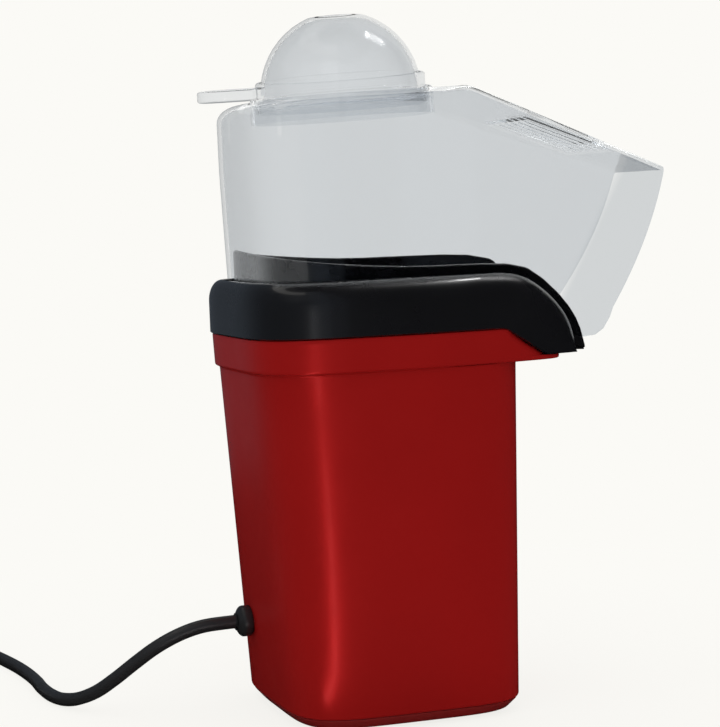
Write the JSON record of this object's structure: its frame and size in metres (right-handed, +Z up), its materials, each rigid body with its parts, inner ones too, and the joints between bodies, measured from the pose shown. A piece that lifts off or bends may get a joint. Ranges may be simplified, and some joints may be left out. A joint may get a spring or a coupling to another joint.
{
  "type": "popcorn maker",
  "caption": "Hot-air popcorn maker: tapered red housing, black chute collar, clear hood with a louvred roof, measuring cup lid, blower, heater and mains lead.",
  "frame": {"origin": "Under the middle of the whole popcorn maker, on the surface that it stands on; the mains lead is not counted.", "axes": "+Z up; -Y towards the outlet, +Y towards the mains lead; +X towards the flank with the switch."},
  "size_m": [0.3144, 0.364, 0.3023],
  "materials": {
    "red_shell": "gloss",
    "dark_red_cover": "satin",
    "black_collar": "gloss",
    "clear_hood": "clear gloss",
    "clear_cup": "clear gloss",
    "black_rubber": "matte",
    "cord_black": "satin",
    "white_nylon": "satin",
    "aluminium": "spun satin",
    "steel_sheet": "brushed",
    "screw_steel": "zinc plated",
    "brown_phenolic": "matte",
    "mica": "matte",
    "heater_wire": "oxidised",
    "motor_plastic": "matte",
    "board_green": "satin",
    "black_plastic": "satin",
    "wire_insulation": "satin",
    "brass": "plain",
    "ceramic_white": "matte"
  },
  "bodies": {
    "housing": {"body_shell": "red_shell", "bottom_cover": "dark_red_cover", "rubber_feet": "black_rubber", "base_screws": "screw_steel", "collar": "black_collar", "collar_screws": "screw_steel", "chamber": "aluminium", "air_sleeve": "steel_sheet", "chamber_screws": "screw_steel", "blower_housing": "brown_phenolic", "sleeve_screws": "screw_steel", "motor_bracket": "steel_sheet", "bracket_screws": "screw_steel", "motor_screws": "screw_steel", "motor_can": "steel_sheet", "motor_endbell": "motor_plastic", "rectifier_board": "board_green", "diodes": "black_plastic", "mica_former": "mica", "heater_coil": "heater_wire", "thermostat": "black_plastic", "thermal_fuse": "ceramic_white", "switch_housing": "black_plastic", "wiring": "wire_insulation", "strain_relief": "cord_black", "power_cord": "cord_black", "cord_coil": "cord_black", "cord_tail": "cord_black", "cord_tie": "white_nylon", "plug_body": "cord_black", "plug_pins": "brass"},
    "rotor": {"motor_shaft": "screw_steel", "fan_impeller": "aluminium"},
    "rocker": {"switch_rocker": "black_collar"},
    "hood": {"hood": "clear_hood"},
    "cup": {"measuring_cup": "clear_cup"}
  },
  "joints": [
    {"name": "hood_lift", "type": "slide", "parent": "housing", "child": "hood", "axis": [0, 0, 1], "range_m": [0, 0.08]},
    {"name": "cup_lift", "type": "slide", "parent": "hood", "child": "cup", "axis": [0, 0, 1], "range_m": [0, 0.045]},
    {"name": "fan_spin", "type": "hinge", "parent": "housing", "child": "rotor", "pos_m": [0, 0.0385, 0.06], "axis": [0, 0, 1], "continuous": true},
    {"name": "switch_rock", "type": "hinge", "parent": "housing", "child": "rocker", "pos_m": [0.05371, 0.0225, 0.044], "axis": [0, 1, 0], "range_deg": [0, 18]}
  ]
}
